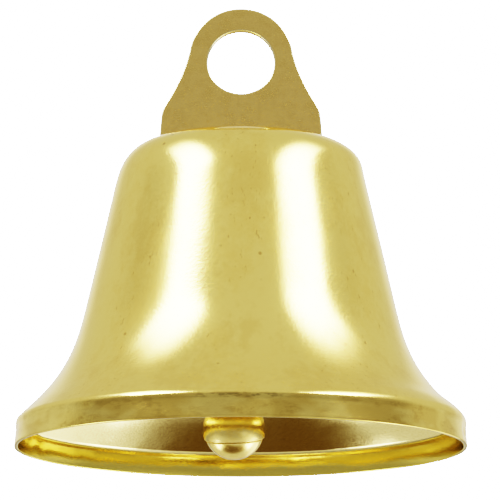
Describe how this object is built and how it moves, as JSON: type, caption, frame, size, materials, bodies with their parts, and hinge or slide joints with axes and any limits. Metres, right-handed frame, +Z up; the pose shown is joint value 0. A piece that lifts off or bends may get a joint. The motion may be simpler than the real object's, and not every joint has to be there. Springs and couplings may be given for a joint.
{
  "type": "hanging bell",
  "caption": "Small flared bell of thin pressed brass with a flat hanging tab on its crown and a ball clapper on a short wire inside.",
  "frame": {"origin": "centre of the eye in the hanging tab, midway through the tab's thickness", "axes": "+Z up along the bell's axis, from the mouth to the tab; the tab lies in the XZ plane, with its front face towards -Y"},
  "size_m": [0.04, 0.04, 0.0405],
  "materials": {
    "bell_brass": "polished sheet brass with fine scuffs",
    "tab_brass": "dull satin, as punched",
    "ball_brass": "polished, with a pressed seam",
    "clapper_wire_metal": "dull drawn wire"
  },
  "bodies": {
    "bell": {"bell_shell": "bell_brass", "hanger_tab": "tab_brass"},
    "link": {"clapper_link": "clapper_wire_metal"},
    "clapper": {"clapper_wire": "clapper_wire_metal", "clapper_ball_upper": "ball_brass", "clapper_ball_lower": "ball_brass"}
  },
  "joints": [
    {"name": "clapper_swing", "type": "hinge", "parent": "bell", "child": "link", "pos_m": [0, 0, -0.01041], "axis": [0, 1, 0], "range_deg": [-34.5, 31.5]},
    {"name": "clapper_rock", "type": "hinge", "parent": "link", "child": "clapper", "pos_m": [-0.00006, 0, -0.0125], "axis": [0.9996, 0, -0.0265], "range_deg": [-12, 12]}
  ]
}
